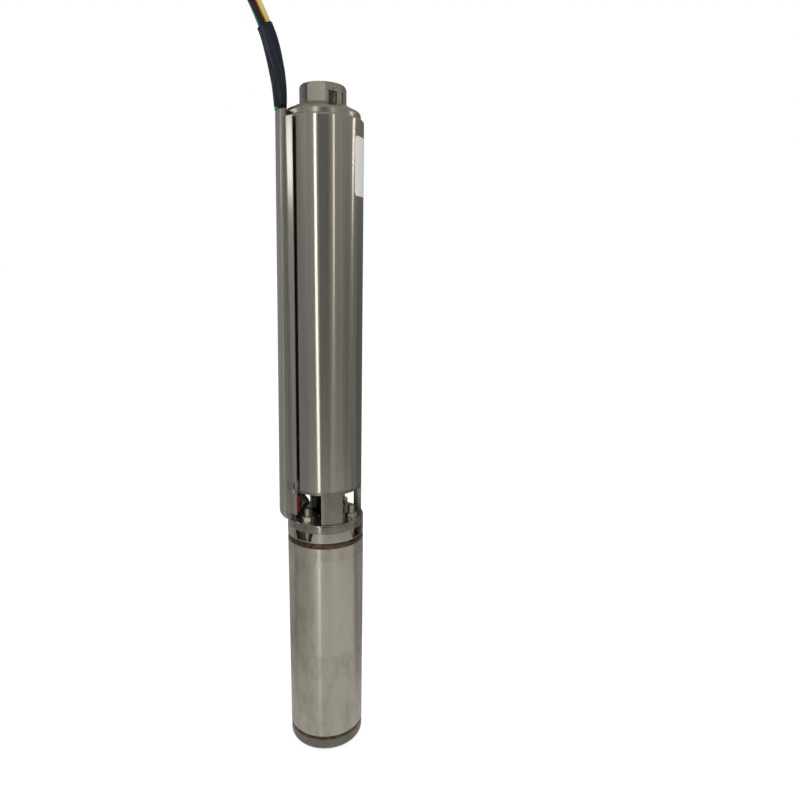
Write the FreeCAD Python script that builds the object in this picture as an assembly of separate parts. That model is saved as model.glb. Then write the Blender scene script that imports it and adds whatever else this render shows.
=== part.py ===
import FreeCAD, Part
import math
import os
from FreeCAD import Vector

os.makedirs("parts", exist_ok=True)

# Borehole submersible pump for a 4-inch well: a multistage centrifugal pump end
# bolted on top of a water-filled motor. Millimetres, +Z up, the origin is the
# centre of the motor's flat bottom, and the cable guard lies on the -X side.

# Motor, outside
motor_diameter = 95.3
motor_length = 308.0
shell_wall = 1.5
cap_height = 18.0
cap_flat_radius = 40.0
cap_side_radius = 47.4
vent_diameter = 4.0
vent_circle = 30.0
weld_height = 5.0
upper_weld_height = 7.0
weld_step = 0.2
rim_height = 13.0
pilot_diameter = 87.3
pilot_height = 3.5

# Motor, inside
shaft_diameter = 25.0
neck_diameter = 21.0
spline_teeth = 14
spline_major = 15.9
spline_minor = 13.6
spline_root = 0.34
spline_tip = 0.17
shaft_extension = 38.3
rotor_diameter = 47.0
air_gap = 0.5
can_wall = 0.6
stack_low = 98.0
stack_to_face = 70.0
winding_overhang = 22.0
lower_bell_height = 36.0
skirt_length = 26.0
bearing_wall = 4.5
bearing_length = 22.0
thrust_disc_diameter = 50.0
thrust_disc_height = 6.0
thrust_pad_count = 6
thrust_pad_height = 7.0

# Studs that hold the pump end on the motor
stud_circle = 76.2
stud_diameter = 7.9
stud_count = 4
stud_height = 28.0
stud_root = 24.0
nut_across_flats = 12.7
nut_height = 6.6
washer_thickness = 1.2
stud_hole = 8.8
slot_width_top = 25.8
slot_width_bottom = 20.6
slot_depth = 11.5
slot_floor_radius = 33.0

# Suction interconnector
flange_diameter = 95.0
flange_height = 10.5
flange_opening = 48.0
window_height = 37.5
column_count = 4
column_angle = 34.0
lead_column_angle = 12.0
column_wall = 4.2
collar_height = 4.0
spigot_height = 24.0

# Pump casing and stage stack
casing_diameter = 90.0
casing_wall = 1.6
casing_length = 418.0
rim_roll = 3.0
stage_count = 7
top_plate_room = 32.0
plate_thickness = 4.0
bowl_wall = 1.4
fit = 0.1
running = 0.05
impeller_diameter = 72.0
impeller_gap = 1.6
shroud_thickness = 1.6
impeller_width = 8.0
eye_diameter = 33.0
neck_wall = 2.8
neck_clearance = 0.3
blade_count = 6
blade_thickness = 1.5
blade_inlet_angle = 22.0
blade_outlet_angle = 26.0
vane_count = 7
vane_thickness = 1.6
hub_diameter = 18.0
hex_across_flats = 12.0
coupling_diameter = 25.0
coupling_length = 60.0
top_bush_wall = 3.5
top_bearing_length = 22.0

# Discharge head with its non-return valve
octagon_across_flats = 47.6
octagon_height = 19.5
octagon_turn = 17.5
outlet_diameter = 38.95
shoulder_height = 14.5
shoulder_radius = 41.4
shoulder_round = 5.0
head_wall = 3.2
head_spigot = 64.0
eye_lug_width = 6.5
eye_lug_reach = 28.5
eye_lug_height = 17.0
eye_hole_width = 6.0
eye_hole_height = 12.5
eye_lug_angle = -63.0
seat_height = 6.0
seat_opening = 48.0
poppet_diameter = 60.0
poppet_thickness = 4.5
seal_thickness = 2.0
stem_diameter = 8.0
stem_length = 42.0
valve_lift = 9.0
guide_height = 10.0
spring_diameter = 20.0
spring_wire = 1.8
spring_turns = 4.5

# Cable guard, a hat-section strip of sheet
guard_sheet = 1.0
guard_depth = 7.0
guard_half_angle = 21.0
guard_flange_angle = 37.5
guard_foot_gap = 0.8
guard_rise = 4.6
guard_flange_inset = 8.7
guard_flange_drop = 7.5
guard_end_round = 7.0
guard_bend = 2.0
guard_lean = 0.68
guard_stand = 2.2
guard_screw_drop = 2.4
guard_screw_angle = 28.0
guard_screw_diameter = 4.0
guard_screw_head = 7.0
screw_head_gap = 0.15
keyhole_length = 11.0

# Motor leads
lead_diameter = 4.4
connector_radius = 31.0
connector_diameter = 15.6
connector_height = 13.0
jam_nut_across_flats = 17.0
jam_nut_height = 6.0
bundle_diameter = 10.8
sleeve_wall = 1.3

# Levels that follow from the sizes above
shell_low = cap_height + weld_height
bell_low = motor_length - rim_height
shell_top = bell_low - upper_weld_height
flange_top = motor_length + flange_height
window_top = flange_top + window_height
casing_low = window_top + collar_height
casing_top = casing_low + casing_length
stack_floor = casing_low + spigot_height
stages_low = stack_floor + plate_thickness
stage_height = (casing_length - head_spigot - spigot_height - plate_thickness - top_plate_room) / stage_count
stages_top = stages_low + stage_count * stage_height
head_low = casing_top - head_spigot
octagon_low = casing_top + shoulder_height
head_top = octagon_low + octagon_height
guard_low = flange_top + guard_foot_gap
guard_top = casing_top + guard_rise
guard_flange_low = guard_low + guard_flange_inset
guard_flange_top = guard_top - guard_flange_drop
guard_screw_z = casing_low - guard_screw_drop
guard_back = casing_diameter / 2 + fit + guard_stand
stack_length = motor_length - stack_low - stack_to_face

motor_radius = motor_diameter / 2
casing_radius = casing_diameter / 2
inner_radius = casing_radius - casing_wall
stack_radius = inner_radius - fit
shell_inner = motor_radius - shell_wall


def polygon(points):
    """A face from (x, y) or (x, y, z) points."""
    corners = [Vector(*p) for p in points]
    return Part.Face(Part.makePolygon(corners + [corners[0]]))


def revolve(outline, angle=360.0, start=0.0):
    """Turn a closed (radius, height) outline about Z.

    An outline entry with four numbers is an arc: the point it passes
    through, then the point where it ends."""
    edges = []
    here = Vector(outline[0][0], 0, outline[0][1])
    first = here
    for entry in outline[1:] + [outline[0]]:
        end = Vector(entry[-2], 0, entry[-1])
        if len(entry) == 4:
            edges.append(Part.Arc(here, Vector(entry[0], 0, entry[1]), end).toShape())
        elif (end - here).Length > 1e-9:
            edges.append(Part.makeLine(here, end))
        here = end
    face = Part.Face(Part.Wire(edges))
    solid = face.revolve(Vector(0, 0, 0), Vector(0, 0, 1), angle)
    return turned(solid, start)


def turned(shape, angle):
    """A copy turned about Z by an angle in degrees."""
    copy = shape.copy()
    copy.rotate(Vector(0, 0, 0), Vector(0, 0, 1), angle)
    return copy


def around(shape, count, start=0.0):
    """Evenly spaced copies about Z."""
    return [turned(shape, start + 360.0 * k / count) for k in range(count)]


def disc(radius, low, high, x=0.0, y=0.0):
    return Part.makeCylinder(radius, high - low, Vector(x, y, low))


def ring(inner, outer, low, high):
    return disc(outer, low, high).cut(disc(inner, low - 1, high + 1))


def sector(inner, outer, low, high, start, end):
    """Part of a ring between two angles in degrees."""
    outline = [(inner, low), (outer, low), (outer, high), (inner, high)]
    return revolve(outline, end - start, start)


def prism(sides, across_flats, low, high, turn=0.0):
    """A regular prism on the Z axis; turn 0 puts a flat towards +X."""
    corner = across_flats / 2 / math.cos(math.pi / sides)
    points = []
    for k in range(sides):
        a = math.radians(turn) + math.pi * (2 * k + 1) / sides
        points.append((corner * math.cos(a), corner * math.sin(a), low))
    return polygon(points).extrude(Vector(0, 0, high - low))


def at(shape, x, y, z=0.0):
    copy = shape.copy()
    copy.translate(Vector(x, y, z))
    return copy


def polar(radius, angle, z=0.0):
    a = math.radians(angle)
    return Vector(radius * math.cos(a), radius * math.sin(a), z)


def fused(shapes):
    first = shapes[0]
    return first.fuse(shapes[1:]).removeSplitter() if len(shapes) > 1 else first


def save(name, shape):
    """Write a sub-part; a list becomes a group of separate solids."""
    if isinstance(shape, list):
        shape = Part.makeCompound(shape)
    shape.exportStep("parts/" + name + ".step")
    print(name, len(shape.Solids), "solid(s)", round(shape.Volume / 1000, 2), "cm3")


# Pump casing


def pump_casing():
    """Drawn tube, its top edge rolled in over the shoulder of the head."""
    outer, inner = casing_radius, inner_radius
    roll = rim_roll
    tilt = roll * (1 - math.sqrt(0.5))
    outline = [
        (inner, casing_low), (outer, casing_low), (outer, casing_top - roll),
        (outer - tilt, casing_top - tilt, outer - roll, casing_top),
        (outer - roll, casing_top - casing_wall), (inner, casing_top - roll - 0.2),
    ]
    return revolve(outline)


# Suction interconnector


def guard_frame(shape):
    """Lean the guard's channel: it is deeper towards its foot."""
    copy = shape.copy()
    copy.rotate(Vector(-casing_radius, 0, guard_top), Vector(0, 1, 0), guard_lean)
    return copy


def suction_interconnector():
    """Cast piece: motor flange, four columns, collar and casing spigot.

    The column behind the guard is narrow, so that the leads pass beside it."""
    flange_round = 2.0
    r = flange_diameter / 2
    tilt = flange_round * (1 - math.sqrt(0.5))
    register = pilot_diameter / 2 + fit
    flange = revolve([
        (flange_opening / 2, motor_length + pilot_height + fit),
        (register, motor_length + pilot_height + fit), (register, motor_length),
        (r, motor_length), (r, flange_top - flange_round),
        (r - tilt, flange_top - tilt, r - flange_round, flange_top),
        (flange_opening / 2, flange_top),
    ])
    spigot_inner = inner_radius - fit - column_wall + 1.0
    collar = revolve([
        (casing_radius - column_wall, window_top), (casing_radius, window_top),
        (casing_radius, casing_low), (stack_radius, casing_low),
        (stack_radius, stack_floor), (spigot_inner, stack_floor),
    ])
    columns = []
    for k in range(column_count):
        middle = 360.0 * k / column_count
        half = (lead_column_angle if middle == 180.0 else column_angle) / 2
        columns.append(sector(casing_radius - column_wall, casing_radius, flange_top - 0.5,
                              window_top + 0.5, middle - half, middle + half))
    body = fused([flange, collar] + columns)
    for p in stud_places():
        body = body.cut(disc(stud_hole / 2, motor_length - 1, flange_top + 1, p.x, p.y))
    lead_hole = jam_nut_across_flats / math.sqrt(3) + 1.2
    body = body.cut(disc(lead_hole, motor_length - 1, flange_top + 1, -connector_radius, 0))
    bosses = []
    for side in (-1, 1):
        direction = polar(1, 180 + side * guard_screw_angle)
        inner_end = direction * (casing_radius - 2.5)
        inner_end.z = guard_screw_z
        boss = Part.makeCylinder(4.2, 12, inner_end, direction)
        bosses.append(boss)
    keep = sector(20, guard_back, guard_low, casing_top, 120, 240)
    below_casing = disc(casing_radius * 2, flange_top, casing_low)
    bosses = [boss.common(keep).common(below_casing) for boss in bosses]
    body = body.fuse(bosses)
    for hole in guard_screw_holes():
        body = body.cut(hole)
    return body


def stud_places():
    first = 180.0 / stud_count
    return [polar(stud_circle / 2, first + 360.0 * k / stud_count) for k in range(stud_count)]


def guard_screw_holes():
    holes = []
    for side in (-1, 1):
        direction = polar(1, 180 + side * guard_screw_angle)
        start = direction * (casing_radius - column_wall - 1)
        start.z = guard_screw_z
        holes.append(Part.makeCylinder(guard_screw_diameter / 2, 20, start, direction))
    return holes


def guard_screws():
    """Pan-head screws through the guard's flanges into the interconnector."""
    seat = guard_back + guard_sheet
    screws = []
    for side in (-1, 1):
        direction = polar(1, 180 + side * guard_screw_angle)
        offset = screw_head_gap
        start = direction * (casing_radius - column_wall)
        start.z = guard_screw_z
        reach = seat + offset - (casing_radius - column_wall)
        shank = Part.makeCylinder(guard_screw_diameter / 2, reach + 0.5, start, direction)
        head_start = direction * (seat + offset)
        head_start.z = guard_screw_z
        head = Part.makeCylinder(guard_screw_head / 2, 2.4, head_start, direction)
        rim = max(head.Edges, key=lambda e: e.CenterOfMass.dot(direction))
        head = head.makeFillet(1.2, [rim])
        screws.append(shank.fuse(head).removeSplitter())
    return screws


def cable_guard():
    """Hat-section strip with a closed, rounded foot and open top."""
    inner = casing_radius + fit
    outer = inner + guard_depth
    t = guard_sheet

    def channel(radius, low, top, half_angle, corner):
        tilt = corner * (1 - math.sqrt(0.5))
        outline = [
            (inner - 8, low), (radius - corner, low),
            (radius - tilt, low + tilt, radius, low + corner),
            (radius, top), (inner - 8, top),
        ]
        return revolve(outline, 2 * half_angle, 180 - half_angle)

    crown = channel(outer, guard_low, guard_top, guard_half_angle, guard_end_round)
    crown_edges = [e for e in crown.Edges if e.BoundBox.ZLength > 300
                   and math.hypot(e.CenterOfMass.x, e.CenterOfMass.y) > outer - 0.5]
    crown = guard_frame(crown.makeFillet(guard_bend, crown_edges))
    wall_angle = math.degrees(t / outer)
    hollow = channel(outer - t, guard_low + t, guard_top + 5, guard_half_angle - wall_angle,
                     guard_end_round - t)
    hollow_edges = [e for e in hollow.Edges if e.BoundBox.ZLength > 300
                    and math.hypot(e.CenterOfMass.x, e.CenterOfMass.y) > outer - t - 0.5]
    hollow = guard_frame(hollow.makeFillet(guard_bend - t, hollow_edges))
    hat = crown.cut(hollow).cut(disc(guard_back, guard_low - 5, guard_top + 5))
    wide = sector(guard_back, guard_back + t, guard_flange_low, guard_flange_top, 120, 240)
    edges = guard_frame(sector(inner - 8, outer + 8, guard_low - 5, guard_top + 5,
                               180 - guard_flange_angle, 180 + guard_flange_angle))
    flanges = wide.common(edges).cut(hollow)
    body = fused([hat] + flanges.Solids)
    for side in (-1, 1):
        direction = polar(1, 180 + side * guard_screw_angle)
        start = direction * (casing_radius - 3)
        start.z = guard_screw_z
        body = body.cut(Part.makeCylinder(guard_screw_diameter / 2 + 0.2, 20, start, direction))
        narrow = Part.makeBox(20, guard_screw_diameter - 1.0, keyhole_length)
        narrow.translate(Vector(casing_radius - 3, -(guard_screw_diameter - 1.0) / 2, guard_screw_z))
        body = body.cut(turned(narrow, 180 + side * guard_screw_angle))
    return body


# Studs, nuts and washers


def motor_studs():
    studs = []
    for p in stud_places():
        stud = disc(stud_diameter / 2, motor_length - stud_root, motor_length + stud_height, p.x, p.y)
        tip = max(stud.Edges, key=lambda e: e.CenterOfMass.z)
        studs.append(stud.makeChamfer(0.9, [tip]))
    return studs


def stud_washers():
    washer = ring(stud_diameter / 2 + 0.1, nut_across_flats / 2 + 0.9, flange_top,
                  flange_top + washer_thickness)
    return [at(washer, p.x, p.y) for p in stud_places()]


def stud_nuts():
    low = flange_top + washer_thickness
    high = low + nut_height
    corner = nut_across_flats / math.sqrt(3)
    nut = prism(6, nut_across_flats, low, high, 15)
    face = nut_across_flats / 2 - 0.2
    drop = (corner - face) * math.tan(math.radians(30))
    cone = revolve([
        (0, low), (face, low), (corner, low + drop), (corner, high - drop), (face, high), (0, high),
    ])
    nut = nut.common(cone).cut(disc(stud_diameter / 2, low - 1, high + 1))
    return [at(nut, p.x, p.y) for p in stud_places()]


# Discharge head and non-return valve


def rope_eye(angle):
    """Cast lug on the octagon, and the passage for a safety rope behind it."""
    low = octagon_low - 5.0
    high = low + eye_lug_height + 3.0
    half = eye_lug_width / 2
    flat = octagon_across_flats / 2
    lug = Part.makeBox(eye_lug_reach - flat + 6, eye_lug_width, high - low,
                       Vector(flat - 6, -half, low))
    outer_top = [e for e in lug.Edges
                 if abs(e.CenterOfMass.x - eye_lug_reach) < 0.01 and e.CenterOfMass.z > high - 0.1]
    lug = lug.makeFillet(4.0, outer_top)
    hole_low = octagon_low - 1.5
    reach = eye_lug_reach - 2.6
    passage = Part.makeBox(eye_hole_width, 20, eye_hole_height,
                           Vector(reach - eye_hole_width, -10, hole_low))
    along = [e for e in passage.Edges if e.BoundBox.YLength > 15]
    passage = passage.makeFillet(eye_hole_width / 2 - 0.1, along)
    return turned(lug, angle), turned(passage, angle)


def discharge_head():
    bore = outlet_diameter / 2
    corner = octagon_across_flats / 2 / math.cos(math.pi / 8)
    boss = prism(8, octagon_across_flats, octagon_low - 3, head_top, octagon_turn)
    top_round = 4.0
    tilt = top_round * (1 - math.sqrt(0.5))
    turning = revolve([
        (0, octagon_low - 3), (corner, octagon_low - 3), (corner, head_top - top_round),
        (corner - tilt, head_top - tilt, corner - top_round, head_top), (0, head_top),
    ])
    boss = boss.common(turning)
    rise = octagon_low - casing_top
    bend = shoulder_round
    cone_top = corner + 0.6
    edge = casing_top + 3.4
    shoulder = revolve([
        (bore - 1, head_low), (stack_radius, head_low), (stack_radius, casing_top - rim_roll - 0.4),
        (casing_radius - rim_roll - 0.2, casing_top - casing_wall - 0.2),
        (shoulder_radius, casing_top - casing_wall), (shoulder_radius, edge),
        (shoulder_radius - 0.7, edge + bend * 0.62, shoulder_radius - bend * 0.72, edge + bend),
        (cone_top, octagon_low - 0.4), (corner - 3, octagon_low + 0.3), (bore - 1, octagon_low + 0.3),
    ])
    body = boss.fuse(shoulder)
    passages = []
    for side in (0, 180):
        lug, passage = rope_eye(eye_lug_angle + side)
        body = body.fuse(lug)
        passages.append(passage)
    chamber = stack_radius - head_wall
    hollow = revolve([
        (0, head_low - 1), (chamber, head_low - 1), (chamber, casing_top - 6),
        (bore + 1.5, octagon_low - 5), (bore, octagon_low - 2), (bore, head_top - 1.2),
        (bore + 1.2, head_top + 0.01), (0, head_top + 0.01),
    ])
    body = body.cut(hollow)
    for passage in passages:
        body = body.cut(passage)
    return body.removeSplitter()


chamber_radius = stack_radius - head_wall
seat_low = head_low
seat_top = seat_low + seat_height
poppet_low = seat_top + running + seal_thickness
guide_low = poppet_low + poppet_thickness + valve_lift + 14.0


def valve_seat():
    opening = seat_opening / 2
    return revolve([
        (opening, seat_low), (chamber_radius, seat_low), (chamber_radius, seat_top),
        (opening + 2, seat_top), (opening, seat_top - 2),
    ])


def valve_seal():
    """Rubber ring under the poppet that closes on the seat."""
    return ring(seat_opening / 2 - 6, poppet_diameter / 2 - 1, seat_top + running, poppet_low)


def valve_poppet():
    """Mushroom poppet: domed disc, seal retainer below and guide stem above."""
    radius = poppet_diameter / 2
    stem = stem_diameter / 2
    top = poppet_low + poppet_thickness
    core = seat_opening / 2 - 6
    return revolve([
        (0, seat_top - 3), (core - 4, seat_top - 3), (core, seat_top), (core, poppet_low),
        (radius, poppet_low), (radius, poppet_low + 1.5),
        (radius * 0.62, poppet_low + poppet_thickness - 0.5, stem + 5, top),
        (stem, top + 3), (stem, poppet_low + stem_length - 1),
        (stem - 1, poppet_low + stem_length), (0, poppet_low + stem_length),
    ])


def valve_guide():
    """Three-armed spider that guides the poppet's stem."""
    low, high = guide_low, guide_low + guide_height
    hub = ring(stem_diameter / 2 + running, stem_diameter / 2 + 3, low, high)
    rim = ring(chamber_radius - 2.5, chamber_radius, low, low + 5)
    arm = Part.makeBox(chamber_radius - stem_diameter / 2 - 3, 3.0, 5,
                       Vector(stem_diameter / 2 + 2, -1.5, low))
    return fused([hub, rim] + around(arm, 3, 30))


def valve_spring():
    """Coil spring between the poppet and the guide."""
    low = poppet_low + poppet_thickness + spring_wire / 2 + 0.05
    high = guide_low - spring_wire / 2 - 0.05
    radius = spring_diameter / 2
    pitch = (high - low) / spring_turns
    helix = Part.makeHelix(pitch, high - low, radius)
    helix.translate(Vector(0, 0, low))
    section = Part.Wire(Part.makeCircle(spring_wire / 2, Vector(radius, 0, low), Vector(0, 1, 0)))
    return Part.Wire(helix).makePipeShell([section], True, True)


# Stage stack and pump shaft


def curved_blade(inner, outer, inlet, outlet, thickness, low, high, hand=1):
    """A single-arc blade, set by its radii and the angles at its two ends."""
    a, b = math.radians(inlet), math.radians(outlet)
    radius = (outer ** 2 - inner ** 2) / (2 * (outer * math.cos(b) - inner * math.cos(a)))
    centre = math.sqrt(inner ** 2 + radius ** 2 - 2 * inner * radius * math.cos(a))
    band = ring(radius - thickness / 2, radius + thickness / 2, low, high)
    band = at(band, centre, 0)
    reach = ring(inner, outer, low, high)
    side = Part.makeBox(4 * outer, 2 * outer, high - low, Vector(-2 * outer, 0, low))
    if hand < 0:
        side = Part.makeBox(4 * outer, 2 * outer, high - low, Vector(-2 * outer, -2 * outer, low))
    return band.common(reach).common(side)


def impeller(base):
    """Closed impeller: eye neck, two shrouds, curved blades and a hexagon-bored hub."""
    eye = eye_diameter / 2
    neck = eye + neck_wall
    outer = impeller_diameter / 2
    low = base + impeller_gap
    inside = low + shroud_thickness
    high = inside + impeller_width
    top = high + shroud_thickness
    hub = hub_diameter / 2
    lower_shroud = revolve([
        (eye, base - 3.5), (neck, base - 3.5), (neck, low), (outer, low + 1), (outer, inside + 1),
        (neck + 1.5, inside), (eye, low - 0.5),
    ])
    upper_shroud = revolve([
        (hub - 0.5, high - 3), (hub + 2.5, high - 2.2), (hub + 7, high), (outer, high),
        (outer, top), (hub - 0.5, top),
    ])
    sleeve = disc(hub, base + 1, base + 1 + stage_height)
    blade = curved_blade(eye - 3, outer, blade_inlet_angle, blade_outlet_angle, blade_thickness,
                         inside - 0.8, high + 0.6)
    body = fused([lower_shroud, upper_shroud, sleeve] + around(blade, blade_count))
    return body.cut(hex_bore(base, base + 2 + stage_height))


def hex_bore(low, high):
    return prism(6, hex_across_flats + 2 * running, low, high)


def diffuser(base):
    """Bowl of one stage: wall, return plate, guide vanes and the next eye."""
    top = base + stage_height
    neck = eye_diameter / 2 + neck_wall + neck_clearance
    inner = stack_radius - bowl_wall
    plate = base + impeller_gap + 2 * shroud_thickness + impeller_width + 1.6
    wall = ring(inner, stack_radius, base, top)
    end_plate = ring(neck, inner + 0.5, top - shroud_thickness, top)
    return_plate = ring(hub_diameter / 2 + neck_clearance, impeller_diameter / 2 + 0.8,
                        plate, plate + shroud_thickness)
    collar = ring(hub_diameter / 2 + neck_clearance, hub_diameter / 2 + 3, plate, plate + 6)
    vane = curved_blade(neck + 1.5, inner + 0.4, 60, 24, vane_thickness,
                        plate + shroud_thickness / 2, top - shroud_thickness / 2, -1)
    return fused([wall, end_plate, return_plate, collar] + around(vane, vane_count))


def suction_plate():
    """Bottom plate of the stack, with a rounded mouth into the first eye."""
    neck = eye_diameter / 2 + neck_wall + neck_clearance
    return revolve([
        (neck, stages_low), (stack_radius, stages_low), (stack_radius, stack_floor),
        (neck + 3, stack_floor), (neck + 0.9, stack_floor + 0.9, neck, stack_floor + 3),
    ])


def pump_shaft():
    end_thread = hex_across_flats / 2 - 1
    low = motor_length + shaft_extension + 1.5
    sleeve_top = stages_top + 1 + top_bearing_length
    bar = prism(6, hex_across_flats, low, sleeve_top)
    thread = disc(end_thread, sleeve_top - 1, sleeve_top + 8.5)
    return fused([bar, thread])


def lower_spacer():
    low = motor_length + flange_height + coupling_length - 0.5
    return ring(0.1, hub_diameter / 2, low, stages_low + 1).cut(hex_bore(low - 1, stages_low + 2))


def bearing_sleeve():
    low = stages_top + 1
    sleeve = disc(hub_diameter / 2, low, low + top_bearing_length)
    return sleeve.cut(hex_bore(low - 1, low + top_bearing_length + 1))


def shaft_nut():
    low = stages_top + 1 + top_bearing_length
    nut = prism(6, 17.0, low, low + 7)
    return nut.cut(disc(hex_across_flats / 2 - 1, low - 1, low + 8))


def top_bearing_spider():
    """Last plate of the stack: ring, five arms and the housing of the top bush."""
    hub = hub_diameter / 2 + running + top_bush_wall
    low = stages_top
    rim = ring(stack_radius - 3, stack_radius, low, head_low)
    housing = ring(hub, hub + 2.5, low, low + top_bearing_length)
    arm = Part.makeBox(stack_radius - hub - 3, 3.0, 8, Vector(hub + 1.5, -1.5, low))
    return fused([rim, housing] + around(arm, 5))


def top_bush():
    hub = hub_diameter / 2 + running
    bush = ring(hub, hub + top_bush_wall, stages_top, stages_top + top_bearing_length)
    flute = disc(1.6, stages_top - 1, stages_top + top_bearing_length + 1, hub + 0.4, 0)
    for cut in around(flute, 6, 15):
        bush = bush.cut(cut)
    return bush


def spline_prism(minor, major, low, high):
    """Straight-sided spline with flat-topped teeth."""
    points = []
    for k in range(spline_teeth):
        centre = 360.0 * k / spline_teeth
        step = 360.0 / spline_teeth
        for radius, share in ((minor, -0.5), (minor, -spline_root), (major, -spline_tip),
                              (major, spline_tip), (minor, spline_root)):
            p = polar(radius / 2, centre + share * step, low)
            points.append((p.x, p.y, p.z))
    return polygon(points).extrude(Vector(0, 0, high - low))


def shaft_coupling():
    low = flange_top - 0.5
    high = low + coupling_length
    split = motor_length + shaft_extension + 0.8
    body = disc(coupling_diameter / 2, low, high)
    rims = [e for e in body.Edges if e.BoundBox.ZLength < 0.01]
    body = body.makeChamfer(1.0, rims)
    gap = 2 * running
    body = body.cut(spline_prism(spline_minor + gap, spline_major + gap, low - 1, split))
    return body.cut(hex_bore(split, high + 1))


# Motor

motor_shaft_low = 44.0
seal_low = motor_length - 8.0
upper_bearing_low = seal_low - 2 - bearing_length
lower_bearing_low = 58.0


def motor_shell():
    return ring(shell_inner, motor_radius, shell_low, shell_top)


def shell_welds():
    """Weld beads that close the shell on its two end bells."""
    beads = []
    for low, high in ((cap_height, shell_low), (shell_top, bell_low)):
        middle = (low + high) / 2
        r = motor_radius - weld_step
        beads.append(revolve([
            (shell_inner, low), (r - 0.4, low), (r, middle, r - 0.4, high), (shell_inner, high),
        ]))
    return beads


def motor_upper_bell():
    """Cast top end bell: mounting face, pilot, bearing housing and four slots."""
    top = motor_length + pilot_height
    skirt_low = bell_low - skirt_length
    bearing = shaft_diameter / 2 + running + bearing_wall
    seal = neck_diameter / 2 + running + 4.0
    body = revolve([
        (bearing, upper_bearing_low - 2), (bearing + 5, upper_bearing_low - 2),
        (bearing + 5, bell_low - 12), (shell_inner - 5, bell_low - 12), (shell_inner - 5, skirt_low),
        (shell_inner, skirt_low), (shell_inner, bell_low), (motor_radius - 0.6, bell_low),
        (motor_radius, bell_low + 0.6), (motor_radius, motor_length - 0.6),
        (motor_radius - 0.6, motor_length), (pilot_diameter / 2, motor_length),
        (pilot_diameter / 2, top - 0.6), (pilot_diameter / 2 - 0.6, top),
        (seal, top), (seal, seal_low), (bearing, seal_low),
    ])
    for p in stud_places():
        body = body.cut(disc(stud_diameter / 2, motor_length - stud_root, top + 1, p.x, p.y))
    floor = motor_length - slot_depth
    deep = motor_radius - slot_floor_radius + 2
    wide, narrow = slot_width_top / 2, slot_width_bottom / 2
    trapezoid = polygon([
        (slot_floor_radius, -narrow, floor), (slot_floor_radius, narrow, floor),
        (slot_floor_radius, wide, motor_length), (slot_floor_radius, -wide, motor_length),
    ]).extrude(Vector(deep, 0, 0))
    for slot in around(trapezoid, stud_count, 180.0 / stud_count):
        body = body.cut(slot)
    socket = disc(connector_diameter / 2 + fit, bell_low - 13, top + 1, -connector_radius, 0)
    return body.cut(socket)


def motor_lower_bell():
    """Cast bottom end bell with the lower bearing housing and thrust seat."""
    bearing = shaft_diameter / 2 + running + bearing_wall
    top = shell_low + lower_bell_height
    thrust = thrust_disc_diameter / 2 + 2.5
    body = revolve([
        (thrust, cap_height), (shell_inner, cap_height), (shell_inner, top - 6),
        (shell_inner - 2, top), (bearing + 6, top), (bearing + 6, lower_bearing_low + bearing_length),
        (bearing, lower_bearing_low + bearing_length), (bearing, lower_bearing_low),
        (bearing - 2, lower_bearing_low), (bearing - 2, lower_bearing_low - 2), (thrust, lower_bearing_low - 2),
    ])
    port = disc(3.5, cap_height - 1, top + 1, 36, 0)
    for hole in around(port, 4, 45):
        body = body.cut(hole)
    return body


thrust_top = lower_bearing_low - 2.6
thrust_low = thrust_top - thrust_disc_height
pads_low = thrust_low - running - thrust_pad_height


def bearing_bush(low):
    """Carbon sleeve bearing with water grooves."""
    inner = shaft_diameter / 2 + running
    bush = ring(inner, inner + bearing_wall, low, low + bearing_length)
    for groove in around(disc(1.5, low - 1, low + bearing_length + 1, inner + 0.4, 0), 3):
        bush = bush.cut(groove)
    return bush


def thrust_pads():
    """Tilting segments under the thrust disc."""
    inner, outer = 9.0, thrust_disc_diameter / 2
    step = 360.0 / thrust_pad_count
    pad = sector(inner, outer, pads_low, pads_low + thrust_pad_height, -step / 2 + 5, step / 2 - 5)
    return around(pad, thrust_pad_count)


def thrust_plate():
    """Steel carrier of the pads, on the thrust seat of the base cap."""
    return ring(6.0, thrust_disc_diameter / 2 + 2.3, cap_height, pads_low)


def thrust_disc():
    return ring(shaft_diameter / 2 - 4, thrust_disc_diameter / 2, thrust_low, thrust_top)


def motor_shaft():
    r = shaft_diameter / 2
    neck = neck_diameter / 2
    shaft_top = motor_length + shaft_extension
    spline_low = flange_top - 2.0
    bar = revolve([
        (0, thrust_low), (r - 4, thrust_low), (r - 4, thrust_top), (r, thrust_top),
        (r, seal_low - 1), (neck, seal_low), (neck, spline_low - 3),
        (spline_minor / 2, spline_low), (0, spline_low),
    ])
    spline = spline_prism(spline_minor, spline_major, spline_low - 0.5, shaft_top)
    nose = revolve([
        (0, spline_low - 5), (spline_major / 2 + 1, spline_low - 5), (spline_major / 2 + 1, shaft_top - 2),
        (spline_major / 2 - 1.2, shaft_top), (0, shaft_top),
    ])
    return fused([bar, spline.common(nose)])


def rotor_core():
    """Laminated rotor with its cast end rings."""
    r = shaft_diameter / 2
    return revolve([
        (r, stack_low - 8), (rotor_diameter / 2 - 3, stack_low - 8), (rotor_diameter / 2 - 3, stack_low),
        (rotor_diameter / 2, stack_low), (rotor_diameter / 2, stack_low + stack_length),
        (rotor_diameter / 2 - 3, stack_low + stack_length),
        (rotor_diameter / 2 - 3, stack_low + stack_length + 8), (r, stack_low + stack_length + 8),
    ])


stator_bore = rotor_diameter / 2 + air_gap + can_wall


def stator_core():
    return ring(stator_bore, shell_inner, stack_low, stack_low + stack_length)


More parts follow.
